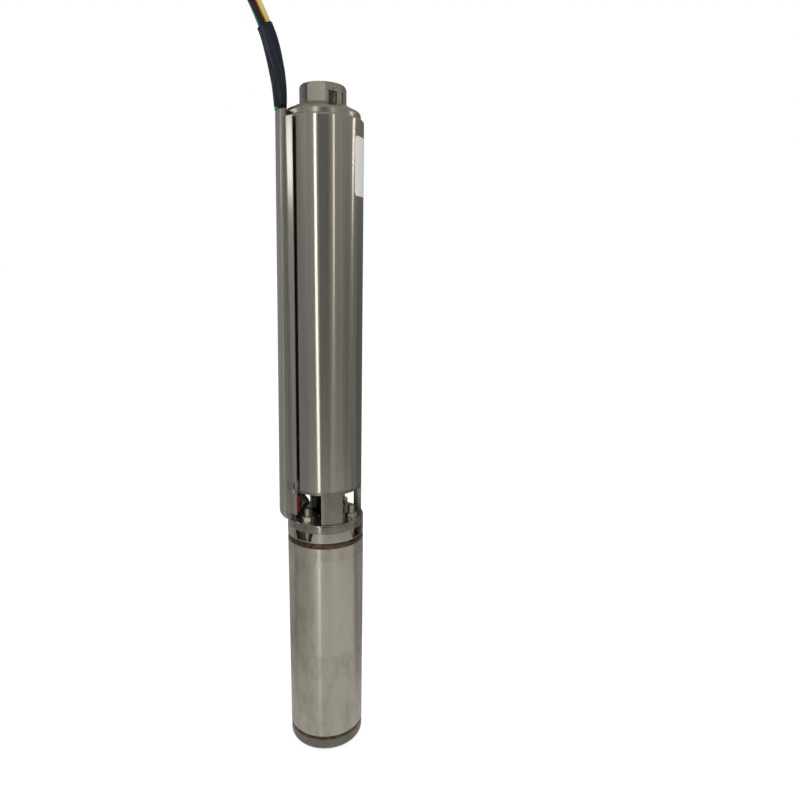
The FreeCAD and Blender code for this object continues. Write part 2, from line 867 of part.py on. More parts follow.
def stator_windings():
    """End turns of the winding above and below the stack."""
    turns = []
    for low, sign in ((stack_low + stack_length, 1), (stack_low, -1)):
        far = low + sign * winding_overhang
        near = low
        turns.append(revolve([
            (stator_bore + 1, near), (shell_inner - 3, near), (shell_inner - 4, far - sign * 6),
            (shell_inner - 6, far - sign * 2, shell_inner - 10, far), (stator_bore + 5, far),
            (stator_bore + 2, far - sign * 2, stator_bore + 1, far - sign * 6),
        ]))
    return turns


def stator_can():
    """Thin liner that keeps the water of the rotor out of the winding."""
    inner = rotor_diameter / 2 + air_gap
    low = lower_bearing_low + bearing_length
    high = upper_bearing_low - 2
    return ring(inner, inner + can_wall, low, high)


def motor_base_cap():
    """Pressed bottom cap over the diaphragm, with three small vent holes."""
    side, flat = cap_side_radius, cap_flat_radius
    wall = 2.2
    outline = [
        (0, 0), (flat, 0), (flat + 5.3, 2.9, side, 10.0), (side, cap_height),
        (side - 6, cap_height), (side - 6, 8.5), (flat - 4, wall), (0, wall),
    ]
    body = revolve(outline)
    for vent in around(disc(vent_diameter / 2, -1, wall + 1, vent_circle / 2, 0), 3, 90):
        body = body.cut(vent)
    return body


def diaphragm():
    """Rubber cup that balances the pressure of the motor's filling."""
    r = cap_side_radius - 6
    return revolve([
        (0, 6.5), (24, 6.5), (28, 10), (r - 4, 10), (r, 13), (r, cap_height),
        (28, cap_height), (28, cap_height - 2), (r - 4, cap_height - 2), (r - 5, 12), (26.6, 12),
        (23, 8.5), (0, 8.5),
    ])


def shaft_seal():
    r = neck_diameter / 2 + running
    return ring(r, r + 4.0, seal_low, motor_length - 0.5)


def sand_slinger():
    """Rubber umbrella on the shaft that throws sand off the seal."""
    r = neck_diameter / 2
    top = motor_length + pilot_height
    return revolve([
        (r, motor_length - 0.1), (r + 2.2, motor_length - 0.1), (r + 2.2, top + 0.6),
        (r + 7.5, top + 0.6), (r + 7.5, top + 1.8), (r + 2.5, top + 3.6), (r, top + 3.6),
    ])


# Leads and their connector


def lead_starts():
    """Centres of the four leads in the connector's rubber."""
    d = 3.4
    return {
        "black": (-connector_radius + d, -d), "red": (-connector_radius - d, -d),
        "yellow": (-connector_radius + d, d), "green": (-connector_radius - d, d),
    }


connector_low = bell_low - 8.0
connector_top = motor_length + pilot_height + connector_height


def lead_connector():
    """Rubber plug that carries the leads into the motor."""
    r = connector_diameter / 2
    pilot_top = motor_length + pilot_height
    plug = revolve([
        (0, connector_low), (r - 1.5, connector_low), (r, connector_low + 3), (r, pilot_top),
        (r - 0.6, pilot_top), (r - 0.6, connector_top - 2), (r - 1.6, connector_top), (0, connector_top),
    ])
    return at(plug, -connector_radius, 0)


def connector_nut():
    low = motor_length + pilot_height
    nut = prism(6, jam_nut_across_flats, low, low + jam_nut_height, 30)
    nut = nut.cut(disc(connector_diameter / 2 - 0.6, low - 1, low + jam_nut_height + 1))
    return at(nut, -connector_radius, 0)


def corner_arcs(points, share=0.45):
    """Straight runs joined by tangent arcs, as edges, with the arcs' radii."""
    points = [Vector(*p) for p in points]
    edges, radii = [], []
    here = points[0]
    for before, corner, after in zip(points, points[1:], points[2:]):
        back = before - corner
        ahead = after - corner
        run = share * min(back.Length, ahead.Length)
        turn = math.pi - back.getAngle(ahead)
        back.normalize()
        ahead.normalize()
        start = corner + back * run
        end = corner + ahead * run
        radius = run / math.tan(turn / 2)
        middle_direction = back + ahead
        middle_direction.normalize()
        depth = radius / math.cos(turn / 2) - radius
        middle = corner + middle_direction * depth
        if (start - here).Length > 1e-6:
            edges.append(Part.LineSegment(here, start).toShape())
        edges.append(Part.Arc(start, middle, end).toShape())
        radii.append(radius)
        here = end
    edges.append(Part.LineSegment(here, points[-1]).toShape())
    return edges, radii


def swept(edges, radius):
    wire = Part.Wire(edges)
    first = edges[0]
    start = first.Vertexes[0].Point
    direction = first.tangentAt(first.FirstParameter)
    section = Part.Wire(Part.makeCircle(radius, start, direction))
    return wire.makePipeShell([section], True, False)


def tube(name, points, diameter):
    """A round tube along a route; prints its length and its tightest arc."""
    edges, radii = corner_arcs(points)
    solid = swept(edges, diameter / 2)
    length = sum(e.Length for e in edges)
    expected = math.pi * diameter ** 2 / 4 * length
    print(name, "length", round(length, 1), "tightest", round(min(radii), 1),
          "volume ratio", round(solid.Volume / expected, 4))
    return solid


leads_top = guard_top + 0.3
bundle_start = Vector(-47.0, -2.8, leads_top)


def lead_route(colour):
    """Route of a lead from the connector, past the guard-side column, up the guard.

    The lower run is written for the front pair and mirrored for the rear pair;
    its heights count from the flange, the others down from the guard's top."""
    mirror = 1 if colour in ("black", "red") else -1
    x, y = lead_starts()[colour]
    foot = [(x, y, connector_top), (x, y, connector_top + 6)]
    if colour in ("black", "yellow"):
        run = [
            (-24.5, -17.5, 21.5), (-29.0, -17.0, 29.5), (-36.5, -14.0, 32.5), (-43.5, -11.5, 33),
            (-48.3, -11.0, 38.5), (-50.5, -12.4, 51.5), (-50.3, -13.0, 81.5),
        ]
        high = (-47.7, -12.9, 87)
    else:
        run = [
            (-34.5, -7.5, 19.5), (-36.5, -7.3, 27), (-43.0, -7.6, 29.5), (-48.6, -6.0, 35.5),
            (-51.5, -4.8, 43.5), (-51.6, -4.6, 81.5),
        ]
        high = (-48.6, -4.5, 87)
    head = {
        "black": [(-47.9, -11.7, 52), (-47.9, -9.3, 22)],
        "red": [(-48.5, -4.6, 52), (-48.2, -4.8, 22)],
        "green": [(-48.4, 2.6, 52), (-48.2, -0.3, 22)],
        "yellow": [(-47.9, 9.4, 52), (-47.9, 4.2, 22)],
    }[colour]
    end = (head[-1][0], head[-1][1], leads_top)
    points = foot + [(px, mirror * py, flange_top + rise) for px, py, rise in run]
    points.append((high[0], mirror * high[1], guard_top - high[2]))
    return points + [(px, py, guard_top - drop) for px, py, drop in head] + [end]


# Free leads above the guard: one bundle in a heat-shrink sleeve, its route given
# by the distance to the right of the axis, the distance towards the viewer and the height.

view_turn = -10.3


def seen(right, near, height):
    """A point given as seen from the viewing side."""
    a = math.radians(view_turn)
    x = right * math.cos(a) + near * math.sin(a)
    y = right * math.sin(a) - near * math.cos(a)
    return Vector(x, y, height)


free_points = [
    (-48.0, 10.4, 820), (-52.6, 10.0, 842), (-57.0, 9.2, 858), (-69.5, 7.0, 886),
    (-84.0, -3.0, 912), (-94.0, -24.0, 942), (-97.0, -58.0, 960), (-92.0, -92.0, 950),
    (-81.0, -105.0, 925), (-68.0, -107.0, 899), (-59.5, -106.0, 869), (-53.5, -104.0, 836),
    (-49.5, -101.0, 800), (-42.0, -95.0, 745), (-31.0, -86.0, 660), (-19.0, -76.0, 550),
    (-11.0, -69.0, 425), (-7.0, -65.0, 300), (-6.0, -66.0, 185), (-4.0, -70.0, 95),
    (-2.0, -82.0, 35), (3.0, -112.0, 6.4), (12.0, -156.0, 5.6), (8.0, -205.0, 5.6),
]
sleeve_bends = 4
free_points_rise = 782.6
sleeve_gap = 2.6


def free_route():
    rise = bundle_start + Vector(0, 0, 16)
    stretch = guard_top / free_points_rise
    return [bundle_start, rise] + [seen(right, near, height * stretch) for right, near, height in free_points]


def free_leads():
    return tube("free_leads", [tuple(p) for p in free_route()], bundle_diameter)


def lead_sleeve():
    """Heat-shrink sleeve round the start of the free bundle."""
    edges = corner_arcs([tuple(p) for p in free_route()])[0]
    edges = edges[:2 * sleeve_bends]
    outer = swept(edges, bundle_diameter / 2 + sleeve_wall)
    inner = swept(edges, bundle_diameter / 2)
    return outer.cut(inner).cut(disc(2 * casing_radius, guard_low, leads_top + sleeve_gap))


save("pump_casing", pump_casing())
save("cable_guard", cable_guard())
save("guard_screws", guard_screws())
save("suction_interconnector", suction_interconnector())
save("motor_studs", motor_studs())
save("stud_washers", stud_washers())
save("stud_nuts", stud_nuts())
save("discharge_head", discharge_head())
save("valve_seat", valve_seat())
save("valve_seal", valve_seal())
save("valve_poppet", valve_poppet())
save("valve_guide", valve_guide())
save("valve_spring", valve_spring())
save("suction_plate", suction_plate())
for stage in range(stage_count):
    base = stages_low + stage * stage_height
    save("impeller_%d" % (stage + 1), impeller(base))
    save("diffuser_%d" % (stage + 1), diffuser(base))
save("pump_shaft", pump_shaft())
save("shaft_sleeves", [lower_spacer(), bearing_sleeve()])
save("shaft_nut", shaft_nut())
save("top_bearing_spider", top_bearing_spider())
save("top_bush", top_bush())
save("shaft_coupling", shaft_coupling())
save("motor_shell", motor_shell())
save("shell_welds", shell_welds())
save("motor_upper_bell", motor_upper_bell())
save("motor_lower_bell", motor_lower_bell())
save("upper_motor_bearing", bearing_bush(upper_bearing_low))
save("lower_motor_bearing", bearing_bush(lower_bearing_low))
save("thrust_pads", thrust_pads())
save("thrust_plate", thrust_plate())
save("thrust_disc", thrust_disc())
save("motor_shaft", motor_shaft())
save("rotor_core", rotor_core())
save("stator_core", stator_core())
save("stator_windings", stator_windings())
save("stator_can", stator_can())
save("motor_base_cap", motor_base_cap())
save("diaphragm", diaphragm())
save("shaft_seal", shaft_seal())
save("sand_slinger", sand_slinger())
save("lead_connector", lead_connector())
save("connector_nut", connector_nut())
for colour in ("black", "red", "yellow", "green"):
    save("lead_" + colour, tube("lead_" + colour, lead_route(colour), lead_diameter))
save("free_leads", free_leads())
save("lead_sleeve", lead_sleeve())
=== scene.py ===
# %% [markdown]
# A borehole pump is a stack of slim tubes: a water-filled motor below and the pump end above it.
# Nearly all of it is bare stainless steel, so this lesson is mostly about how each steel part
# was finished, and about the studio that the steel mirrors.
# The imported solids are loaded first. They stay where they are, and get their finishes here.

# %% Load the frame
import bpy
import bmesh
import math
from mathutils import Matrix, Vector


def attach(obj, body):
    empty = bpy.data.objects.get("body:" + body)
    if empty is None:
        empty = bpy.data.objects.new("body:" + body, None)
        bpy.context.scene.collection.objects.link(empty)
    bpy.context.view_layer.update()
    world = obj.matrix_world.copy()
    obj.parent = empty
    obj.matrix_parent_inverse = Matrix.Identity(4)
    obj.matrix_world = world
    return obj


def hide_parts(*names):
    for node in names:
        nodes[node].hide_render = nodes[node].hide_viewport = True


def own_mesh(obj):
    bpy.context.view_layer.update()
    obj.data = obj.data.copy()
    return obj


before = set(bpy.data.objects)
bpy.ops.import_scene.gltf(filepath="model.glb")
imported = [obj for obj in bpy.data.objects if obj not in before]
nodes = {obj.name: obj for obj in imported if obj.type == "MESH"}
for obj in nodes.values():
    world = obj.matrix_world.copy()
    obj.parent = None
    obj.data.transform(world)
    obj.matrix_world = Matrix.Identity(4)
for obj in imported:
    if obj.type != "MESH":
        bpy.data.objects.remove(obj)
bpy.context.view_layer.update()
MM = 0.001

# %% [markdown]
# The camera stands a little left of the pump's front, at about three quarters of its height, and
# looks down by 14 degrees. The pump stands left of the middle of the frame, so the camera is
# turned to the right of it, and it is tilted by just over a degree, as a hand-held one is.

# %% Camera
VIEW_TURN = math.radians(-10.3)
CAMERA_DISTANCE = 0.783
CAMERA_HEIGHT = 0.622
CAMERA_PITCH = math.radians(14.0)
CAMERA_YAW = math.radians(6.77)
CAMERA_ROLL = math.radians(1.29)
FOCAL_LENGTH = 29.25
SENSOR_SHIFT = 0.0375
NEAREST_SEEN = 0.05


def seen_from_front(right, near, height):
    """A point given to the right of the pump's axis and towards the camera."""
    x = right * math.cos(VIEW_TURN) + near * math.sin(VIEW_TURN)
    y = right * math.sin(VIEW_TURN) - near * math.cos(VIEW_TURN)
    return Vector((x, y, height))


camera = bpy.data.objects.new("camera", bpy.data.cameras.new("camera"))
bpy.context.scene.collection.objects.link(camera)
camera.data.lens = FOCAL_LENGTH
camera.data.shift_y = SENSOR_SHIFT
camera.data.clip_start = NEAREST_SEEN
camera.location = seen_from_front(0, CAMERA_DISTANCE, CAMERA_HEIGHT)
heading = Matrix.Rotation(VIEW_TURN - CAMERA_YAW, 4, "Z")
tilt = Matrix.Rotation(math.pi / 2 - CAMERA_PITCH, 4, "X")
roll = Matrix.Rotation(CAMERA_ROLL, 4, "Z")
camera.rotation_euler = (heading @ tilt @ roll).to_euler()
bpy.context.scene.camera = camera
bpy.context.scene.view_settings.view_transform = "Standard"

# %% [markdown]
# Colours are written as sRGB hex values, as a colour picker shows them, and one function turns
# them linear. Another adds a node with its settings and links. Patterns are sized in real
# millimetres: object coordinates are in metres, so a feature of so many millimetres needs a
# texture scale of a thousand divided by that size.

# %% Colour, node and material helpers
def linear(hex_colour):
    """An sRGB hex colour as linear red, green, blue and alpha."""
    parts = [int(hex_colour[k:k + 2], 16) / 255 for k in (1, 3, 5)]
    curve = [c / 12.92 if c <= 0.04045 else ((c + 0.055) / 1.055) ** 2.4 for c in parts]
    return (*curve, 1.0)


def add(tree, kind, inputs=None, **settings):
    """A new node with its settings, and each input either linked or set."""
    made = tree.nodes.new("ShaderNode" + kind)
    for name, value in settings.items():
        setattr(made, name, value)
    for name, value in (inputs or {}).items():
        if isinstance(value, bpy.types.NodeSocket):
            tree.links.new(value, made.inputs[name])
        else:
            made.inputs[name].default_value = value
    return made


def start_material(name):
    """An empty material, its node tree, and the object coordinates that its patterns use."""
    material = bpy.data.materials.new(name)
    material.use_nodes = True
    material.node_tree.nodes.clear()
    tree = material.node_tree
    place = add(tree, "TexCoord").outputs["Object"]
    return material, tree, place


def finish_material(tree, shader):
    """Joins a shader to the material's output."""
    add(tree, "OutputMaterial", {"Surface": shader.outputs[0]})


def size_of(millimetres):
    """The texture scale whose features are this many millimetres."""
    return 1000 / millimetres


def noise(tree, place, size, detail, roughness=0.5):
    """Noise with features this many millimetres wide."""
    return add(tree, "TexNoise", {"Vector": place, "Scale": size_of(size), "Detail": detail,
                                  "Roughness": roughness}).outputs[0]


def grain(tree, place, across, along, detail, roughness=0.5):
    """Noise with features this wide round the axis and this long up it, in millimetres."""
    scale = (size_of(across), size_of(across), size_of(along))
    stretched = add(tree, "Mapping", {"Vector": place, "Scale": scale}).outputs[0]
    return add(tree, "TexNoise", {"Vector": stretched, "Scale": 1.0, "Detail": detail,
                                  "Roughness": roughness}).outputs[0]


def grooves(tree, place, size, distortion=0.0, direction="Z"):
    """Even waves. Each ridge and each groove is about this many millimetres wide."""
    scale = size_of(size) / (2 * math.pi)
    return add(tree, "TexWave", {"Vector": place, "Scale": scale, "Distortion": distortion},
               bands_direction=direction).outputs[1]


def bump(tree, height, strength, depth, under=None):
    """Relief this many millimetres deep, on top of another one where that is given."""
    inputs = {"Height": height, "Strength": strength, "Distance": depth * MM}
    if under is not None:
        inputs["Normal"] = under
    return add(tree, "Bump", inputs).outputs[0]


def ramp(tree, value, stops):
    """A colour ramp through (position, colour) stops."""
    made = add(tree, "ValToRGB", {"Fac": value})
    elements = made.color_ramp.elements
    while len(elements) < len(stops):
        elements.new(0.5)
    for element, (position, colour) in zip(elements, stops):
        element.position = position
        element.color = linear(colour)
    return made.outputs["Color"]


def two_tone(tree, value, colour_pair, margin=0.3):
    """From one colour to the other over a texture's middle values, all but this margin."""
    return ramp(tree, value, [(margin, colour_pair[0]), (1 - margin, colour_pair[1])])


def spread(tree, value, low, high):
    """A texture's middle values stretched to run from low to high."""
    limits = {"Value": value, "From Min": 0.3, "From Max": 0.7, "To Min": low, "To Max": high}
    return add(tree, "MapRange", limits).outputs[0]


def against_bearing(tree, direction, stops):
    """Colour by compass bearing: 0 is towards the camera, 90 its right, -90 its left."""
    across = add(tree, "VectorMath", {0: direction, 1: tuple(seen_from_front(1, 0, 0))},
                 operation="DOT_PRODUCT")
    towards = add(tree, "VectorMath", {0: direction, 1: tuple(seen_from_front(0, 1, 0))},
                  operation="DOT_PRODUCT")
    angle = add(tree, "Math", {0: across.outputs["Value"], 1: towards.outputs["Value"]},
                operation="ARCTAN2")
    turn = add(tree, "MapRange", {"Value": angle.outputs[0], "From Min": -math.pi,
                                  "From Max": math.pi})
    return ramp(tree, turn.outputs[0], [((b + 180) / 360, colour) for b, colour in stops])


def metal(tree, colour, rough, inputs):
    """A metal shader with these further inputs."""
    return add(tree, "BsdfPrincipled", {"Base Color": colour, "Metallic": 1.0,
                                        "Roughness": rough, **inputs})


def round_grain(tree, anisotropy):
    """Inputs for a shine that is drawn out up and down, by grain that runs round the axis."""
    tangent = add(tree, "Tangent", direction_type="RADIAL", axis="Z").outputs[0]
    return {"Anisotropic": anisotropy, "Anisotropic Rotation": 0.25, "Tangent": tangent}


# %% [markdown]
# Stainless steel, grade 304, is warm grey. What sets one part apart from another is how it was
# made. The pump casing is a rolled tube, polished while it turned, so the grain runs round it.
# That grain blurs a reflection up and down and leaves it sharp from side to side, which is
# why lamps show as long upright stripes. An anisotropic shader with a tangent that turns about
# the tube's axis gives just that. Faint upright bands come from the rolling.

# %% Polished tube steel
HAZE_ROUGHNESS = 0.6


def tube_steel(name, colours, roughness, streak, grit, anisotropy, haze=0.0):
    """Steel polished round its axis: upright bands in colour, fine round grit, and some haze."""
    material, tree, place = start_material(name)
    bands = grain(tree, place, across=streak, along=60 * streak, detail=3.0)
    colour = two_tone(tree, bands, colours, margin=0.32)
    turned = grain(tree, place, across=40 * grit, along=grit, detail=2.0)
    rough = spread(tree, turned, roughness * 0.85, roughness * 1.15)
    relief = {"Normal": bump(tree, turned, strength=0.06, depth=0.02)}
    shine = metal(tree, colour, rough, {**round_grain(tree, anisotropy), **relief})
    dull = metal(tree, colour, HAZE_ROUGHNESS, relief)
    whole = add(tree, "MixShader", {0: haze, 1: shine.outputs[0], 2: dull.outputs[0]})
    finish_material(tree, whole)
    return material


# Bands a few millimetres wide; the real grit of 0.1 mm is drawn at 0.6 mm so that it shows.
casing_steel = tube_steel("stainless tube, polished round", ["#c3c2b9", "#d1d0c8"],
                          roughness=0.2, streak=5, grit=0.6, anisotropy=1.0)

# %% [markdown]
# The cable guard is folded from sheet with a duller mill finish. The same shader serves. Its
# bands are narrower, as rolling lines that run along the guard, its grain is weaker, and haze
# makes up half of its shine.

# %% Folded sheet steel
guard_steel = tube_steel("stainless sheet, mill finish", ["#bdbcb9", "#cac9c5"],
                         roughness=0.15, streak=2.5, grit=0.9, anisotropy=0.6, haze=0.55)

# %% [markdown]
# The discharge head, the interconnector and the motor's end bells are investment castings. Their
# skin is blasted to a fine even grain and the faces that fit something are turned. The eye sees
# a soft grey metal with small pits, smoother than sand casting and duller than the tubes. The
# motor's lower cap is pressed from sheet, with a finer grain, and drawn darker than the castings:
# painted shade for the dim floor that it faces.

# %% Investment-cast steel
THREAD_RADIUS = 21.0
THREAD_GROOVE = 2.3
THREAD_DEPTH = 0.6
RIM_LEVELS = (308.0, 318.5)
RIM_ROUGHNESS = 0.16


def outlet_thread(tree, place, skin):
    """Thread grooves in the outlet's bore, drawn wider than the real ones so that they show."""
    level = add(tree, "VectorMath", {0: place, 1: (1.0, 1.0, 0.0)}, operation="MULTIPLY")
    radius = add(tree, "VectorMath", {0: level.outputs[0]}, operation="LENGTH")
    inside = add(tree, "Math", {0: radius.outputs["Value"], 1: THREAD_RADIUS * MM},
                 operation="LESS_THAN")
    depth = add(tree, "Math", {0: grooves(tree, place, THREAD_GROOVE), 1: inside.outputs[0]},
                operation="MULTIPLY")
    return bump(tree, depth.outputs[0], strength=1.0, depth=THREAD_DEPTH, under=skin)


def turned_rim(tree, place, rough):
    """Lower roughness on the motor's upper flange rim, which is turned after casting."""
    height = add(tree, "SeparateXYZ", {0: place}).outputs["Z"]
    low, high = RIM_LEVELS
    rim = add(tree, "Math", {0: height, 1: (low + high) / 2 * MM, 2: (high - low) / 2 * MM},
              operation="COMPARE")
    return add(tree, "MapRange", {"Value": rim.outputs[0], "To Min": rough,
                                  "To Max": RIM_ROUGHNESS}).outputs[0]


def cast_steel(name, colours, roughness, pit=0.9, threaded=False):
    """Cast stainless with a blasted skin: fine pits, and slow clouds in colour."""
    material, tree, place = start_material(name)
    colour = two_tone(tree, noise(tree, place, size=14, detail=4.0), colours)
    pits = noise(tree, place, size=pit, detail=2.0, roughness=0.6)
    rough = spread(tree, pits, roughness - 0.06, roughness + 0.08)
    rough = turned_rim(tree, place, rough)
    skin = bump(tree, pits, strength=0.13, depth=0.05)
    if threaded:
        skin = outlet_thread(tree, place, skin)
    finish_material(tree, metal(tree, colour, rough, {"Normal": skin}))
    return material


cast_colours = ["#b7b3aa", "#c6c3ba"]
cast_body_steel = cast_steel("stainless, investment cast", cast_colours, roughness=0.3)
head_steel = cast_steel("stainless, cast and threaded", cast_colours, roughness=0.27,
                        threaded=True)
blasted_steel = cast_steel("stainless, cast and blasted", ["#9e9b93", "#aca9a1"],
                           roughness=0.32)
# The cap's colours are darker than the castings': painted shade, for the dim floor that the
# downward-facing cap mirrors.
cap_steel = cast_steel("stainless sheet, deep drawn, painted shade", ["#7f7c76", "#8d8a84"], roughness=0.34,
                       pit=0.6)

# %% [markdown]
# The motor's shell is a tube that was pickled in acid after welding. Pickling leaves steel pale
# with faint cloudy stains. Its shine has two parts: a wide haze from the etched skin, and a
# streak, sharp from side to side, from the grain that the tube had before. The foil label is
# made the same way, with hardly any stains.

# %% Pickled motor shell
ETCHED_ROUGHNESS = 0.43
STREAK_ROUGHNESS = 0.3


def hazy_steel(name, colours, streak_share, stain):
    """Matt metal with two sizes of cloud in colour, a wide haze and a narrow upright streak."""
    material, tree, place = start_material(name)
    base = two_tone(tree, noise(tree, place, size=60, detail=3.0), colours)
    stains = grain(tree, place, across=14, along=30, detail=5.0, roughness=0.6)
    marks = ramp(tree, stains, [(0.3, "#c0bab0"), (0.55, "#ffffff")])
    colour = add(tree, "Mix", {0: stain, 6: base, 7: marks}, data_type="RGBA",
                 blend_type="MULTIPLY").outputs[2]
    rough = spread(tree, stains, ETCHED_ROUGHNESS + 0.05, ETCHED_ROUGHNESS - 0.05)
    skin = bump(tree, noise(tree, place, size=0.7, detail=2.0), strength=0.08, depth=0.03)
    haze = metal(tree, colour, rough, {"Normal": skin})
    streak = metal(tree, colour, STREAK_ROUGHNESS, round_grain(tree, 1.0))
    shader = add(tree, "MixShader", {0: streak_share, 1: haze.outputs[0], 2: streak.outputs[0]})
    finish_material(tree, shader)
    return material


motor_steel = hazy_steel("stainless tube, pickled", ["#cfccc3", "#d4d0c4"],
                         streak_share=0.55, stain=0.42)

# %% [markdown]
# Where the end bells are welded to the shell, the heat has grown an oxide film. It shows as a
# brown ring with darker and paler patches. The bead itself has fine ripples.

# %% Heat-tinted weld
def tinted_weld():
    """Brown oxide on a rippled weld bead."""
    material, tree, place = start_material("stainless weld, heat tinted")
    patches = noise(tree, place, size=7, detail=4.0)
    colour = ramp(tree, patches, [(0.3, "#4a3c35"), (0.5, "#655348"), (0.72, "#7d6b5a")])
    ripples = grain(tree, place, across=1.6, along=9, detail=2.0)
    bead = bump(tree, ripples, strength=0.4, depth=0.15)
    finish_material(tree, metal(tree, colour, 0.42, {"Normal": bead}))
    return material


weld_steel = tinted_weld()

# %% [markdown]
# Nuts, studs, screws, shafts and sleeves are turned from bar. The tool leaves fine rings round
# them, which catch the light in small bright arcs.

# %% Turned bar steel
def turned_steel(name, colours, roughness, ring, depth=0.02):
    """Machined metal with tool rings or a thread, this wide and deep in millimetres."""
    material, tree, place = start_material(name)
    cloud = noise(tree, place, size=5, detail=3.0)
    colour = two_tone(tree, cloud, colours)
    rough = spread(tree, cloud, roughness - 0.05, roughness + 0.07)
    rings = grooves(tree, place, size=ring, distortion=0.6)
    cut = bump(tree, rings, strength=0.1 + depth, depth=depth)
    finish_material(tree, metal(tree, colour, rough, {"Normal": cut}))
    return material


fastener_steel = turned_steel("stainless bar, turned", ["#c2bdb2", "#d5d1c7"],
                              roughness=0.25, ring=0.5)
shaft_steel = turned_steel("stainless bar, ground", ["#c6c4be", "#d6d4cf"],
                           roughness=0.16, ring=0.3)
spring_steel = turned_steel("stainless spring wire", ["#a9a7a2", "#bfbdb8"],
                            roughness=0.3, ring=0.8)
thread_steel = turned_steel("stainless stud, rolled thread", ["#b7b3a9", "#c9c5bb"],
                            roughness=0.28, ring=1.25, depth=0.5)
# The coupling is drawn near black: painted shade for the dark inside of the interconnector's
# windows, on a part that is grey steel.
coupling_steel = turned_steel("coupling steel, darkened as painted shade", ["#2b2b2d", "#3a3a3c"],
                              roughness=0.4, ring=0.6)
bare_copper = turned_steel("copper strand, bare", ["#b5643a", "#cf8152"],
                           roughness=0.3, ring=0.4)

# %% [markdown]
# Inside the pump end each stage is moulded: a dark diffuser bowl in glass-filled polyphenylene
# oxide and a pale impeller in acetal. Both show the faint orange-peel skin of the mould. The
# rubber parts and the carbon bearings are dark, with a finer skin.

# %% Moulded stages, rubber and carbon
def moulded(name, colours, roughness, ior, peel=1.5):
    """Moulded or sintered material: even colour, and a slight orange-peel skin."""
    material, tree, place = start_material(name)
    colour = two_tone(tree, noise(tree, place, size=10, detail=2.0), colours)
    skin = noise(tree, place, size=peel, detail=1.0)
    rough = spread(tree, skin, roughness - 0.05, roughness + 0.05)
    relief = bump(tree, skin, strength=0.1, depth=0.05)
    shader = add(tree, "BsdfPrincipled", {"Base Color": colour, "Roughness": rough, "IOR": ior,
                                          "Normal": relief})
    finish_material(tree, shader)
    return material


diffuser_plastic = moulded("polyphenylene oxide, moulded", ["#26272a", "#303236"],
                           roughness=0.45, ior=1.55)
impeller_plastic = moulded("acetal, moulded", ["#dcd8c8", "#e8e4d6"],
                           roughness=0.35, ior=1.48)
rubber = moulded("nitrile rubber, moulded", ["#17181a", "#222326"],
                 roughness=0.6, ior=1.52, peel=0.8)
carbon = moulded("carbon bearing, sintered", ["#242527", "#36373a"],
                 roughness=0.4, ior=1.8, peel=0.4)

# %% [markdown]
# The motor's stator and rotor are stacks of thin electrical sheet, so their sides show fine
# rings of light edges and dark gaps. The windings are enamelled copper under varnish: a bundle
# of fine turns with a deep amber gloss.

# %% Laminations and windings
def lamination_stack():
    """Stacked sheet 0.5 mm thick, drawn at 1.5 mm so that the layers show."""
    material, tree, place = start_material("electrical sheet, stacked")
    layers = grooves(tree, place, size=1.5, distortion=0.2)
    colour = ramp(tree, layers, [(0.15, "#3c3d40"), (0.5, "#7c7d80")])
    edges = bump(tree, layers, strength=0.3, depth=0.05)
    shader = add(tree, "BsdfPrincipled", {"Base Color": colour, "Metallic": 0.9,
                                          "Roughness": 0.4, "Normal": edges})
    finish_material(tree, shader)
    return material


def enamelled_copper():
    """Varnished copper turns, each about a millimetre across."""
    material, tree, place = start_material("copper wire, enamelled")
    turns = grooves(tree, place, size=1.0, distortion=3.0, direction="DIAGONAL")
    colour = ramp(tree, turns, [(0.1, "#5a2a14"), (0.6, "#b8662f")])
    wires = bump(tree, turns, strength=0.5, depth=0.3)
    shader = add(tree, "BsdfPrincipled", {"Base Color": colour, "Metallic": 0.9,
                                          "Roughness": 0.28, "Coat Weight": 0.6,
                                          "Normal": wires})
    finish_material(tree, shader)
    return material


lamination_steel = lamination_stack()
winding_copper = enamelled_copper()

# %% [markdown]
# Each lead has an extruded jacket of cross-linked polyethylene. Extrusion leaves very shallow
# lengthwise drag lines and a soft waxy gloss. The sleeve that binds the four leads is polyolefin,
# shrunk on with hot air, so it is tight, slightly wrinkled and nearly black with a blue cast.

# %% Lead jackets and shrunk sleeve
def jacket(name, colours, roughness=0.38, drag=1.2, ior=1.5):
    """Extruded insulation: waxy, with slight mottling from handling."""
    material, tree, place = start_material(name)
    handled = noise(tree, place, size=6, detail=4.0)
    colour = two_tone(tree, handled, colours, margin=0.35)
    rough = spread(tree, handled, roughness - 0.06, roughness + 0.1)
    lines = grain(tree, place, across=drag, along=20 * drag, detail=2.0)
    drawn = bump(tree, lines, strength=0.12, depth=0.08)
    shader = add(tree, "BsdfPrincipled", {"Base Color": colour, "Roughness": rough, "IOR": ior,
                                          "Normal": drawn})
    finish_material(tree, shader)
    return material


jackets = {
    "black": jacket("polyethylene jacket, black", ["#151b27", "#1f2734"], ior=1.4),
    "red": jacket("polyethylene jacket, red", ["#93203a", "#a82a45"]),
    "yellow": jacket("polyethylene jacket, yellow", ["#d2bf55", "#decc66"]),
    "green": jacket("polyethylene jacket, green", ["#2f8a4c", "#3d9d5b"]),
}
shrunk_sleeve = jacket("polyolefin, heat shrunk", ["#101a29", "#182335"],
                       roughness=0.34, drag=0.9, ior=1.42)

# %% [markdown]
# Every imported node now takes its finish. A table of finish to node names is enough, and the
# last line prints how many are dressed and which are left out.

